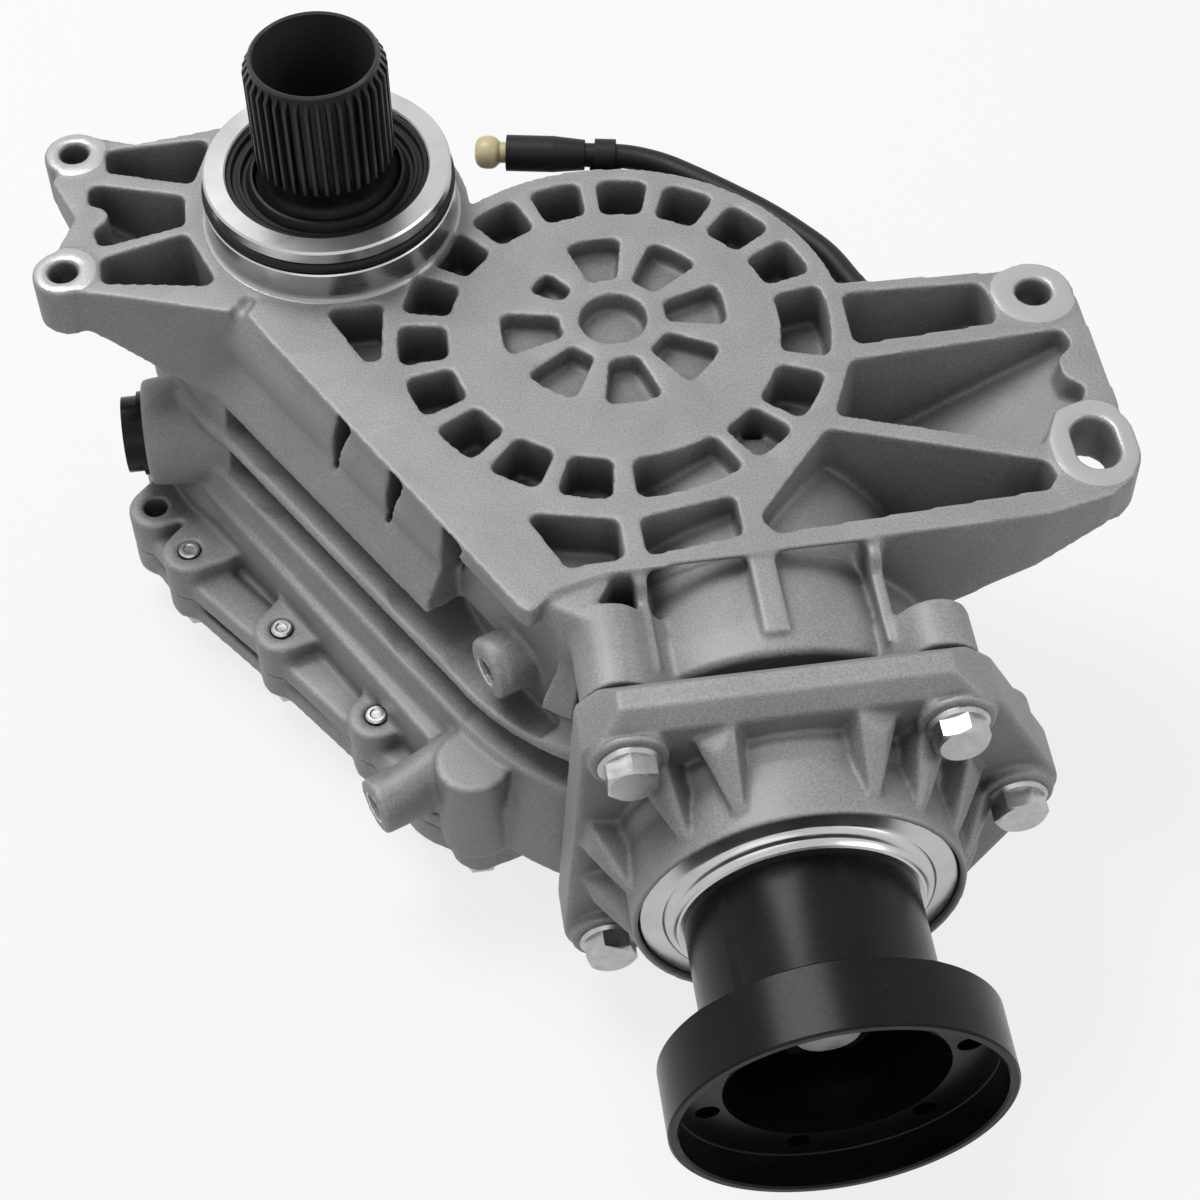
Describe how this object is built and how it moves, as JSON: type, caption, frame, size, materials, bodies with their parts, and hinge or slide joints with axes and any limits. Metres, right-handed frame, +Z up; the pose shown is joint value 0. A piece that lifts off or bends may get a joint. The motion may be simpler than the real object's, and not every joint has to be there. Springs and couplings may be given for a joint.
{
  "type": "transfer case",
  "caption": "Right-angle transfer case in cast aluminium, with a splined hollow input sleeve on an arm-mounted deck and a cup-shaped output flange.",
  "frame": {"origin": "on the axis of the input sleeve, in the plane of the cast deck", "axes": "+Z up along the input axis, the output shaft runs out along -Y, and the long mounting arm points to +X"},
  "size_m": [0.3692, 0.4407, 0.2322],
  "materials": {
    "cast_aluminium": "as cast, with machined faces",
    "dark_steel": "phosphated, satin",
    "plated_steel": "zinc plated",
    "ground_steel": "ground",
    "black_rubber": "matt",
    "black_plastic": "moulded",
    "soft_aluminium": "plain"
  },
  "bodies": {
    "case": {"cover_bolts": "plated_steel", "cover_seal": "black_rubber", "dowel_pins": "ground_steel", "drain_plug": "plated_steel", "drain_plug_washer": "soft_aluminium", "fill_plug": "plated_steel", "fill_plug_washer": "soft_aluminium", "housing_o_ring": "black_rubber", "input_lower_bearing_cup": "ground_steel", "input_seal": "black_rubber", "input_upper_bearing_cup": "ground_steel", "main_case": "cast_aluminium", "output_seal": "black_rubber", "pilot_o_ring": "black_rubber", "pinion_housing": "cast_aluminium", "pinion_housing_bolts": "plated_steel", "pinion_inner_bearing_cup": "ground_steel", "pinion_outer_bearing_cup": "ground_steel", "rear_cover": "cast_aluminium", "shaft_lower_bearing_cup": "ground_steel", "shaft_upper_bearing_cup": "ground_steel", "vent_cap": "black_plastic", "vent_clip": "plated_steel", "vent_clip_screw": "plated_steel", "vent_connector": "black_plastic", "vent_fitting": "black_plastic", "vent_hose": "black_rubber"},
    "input": {"input_gear": "ground_steel", "input_lower_bearing_cone": "ground_steel", "input_sleeve": "dark_steel", "input_upper_bearing_cone": "ground_steel"},
    "intermediate": {"driven_gear": "ground_steel", "intermediate_shaft": "ground_steel", "ring_gear": "ground_steel", "ring_gear_bolts": "ground_steel", "shaft_lower_bearing_cone": "ground_steel", "shaft_upper_bearing_cone": "ground_steel"},
    "output": {"dust_shield": "plated_steel", "output_flange": "dark_steel", "pinion_inner_bearing_cone": "ground_steel", "pinion_nut": "plated_steel", "pinion_outer_bearing_cone": "ground_steel", "pinion_shaft": "ground_steel", "pinion_spacer": "ground_steel"}
  },
  "joints": [
    {"name": "intermediate_spin", "type": "hinge", "parent": "case", "child": "intermediate", "pos_m": [0.0935, -0.0674, -0.06], "axis": [0, 0, 1], "continuous": true},
    {"name": "input_spin", "type": "hinge", "parent": "case", "child": "input", "pos_m": [0, 0, 0], "axis": [0, 0, 1], "continuous": true},
    {"name": "output_spin", "type": "hinge", "parent": "case", "child": "output", "pos_m": [0.126, -0.25, -0.07], "axis": [0, -1, 0], "continuous": true}
  ],
  "couplings": [
    {"joint": "input_spin", "follows": "intermediate_spin", "ratio": -0.82609},
    {"joint": "output_spin", "follows": "intermediate_spin", "ratio": -2.6429}
  ]
}
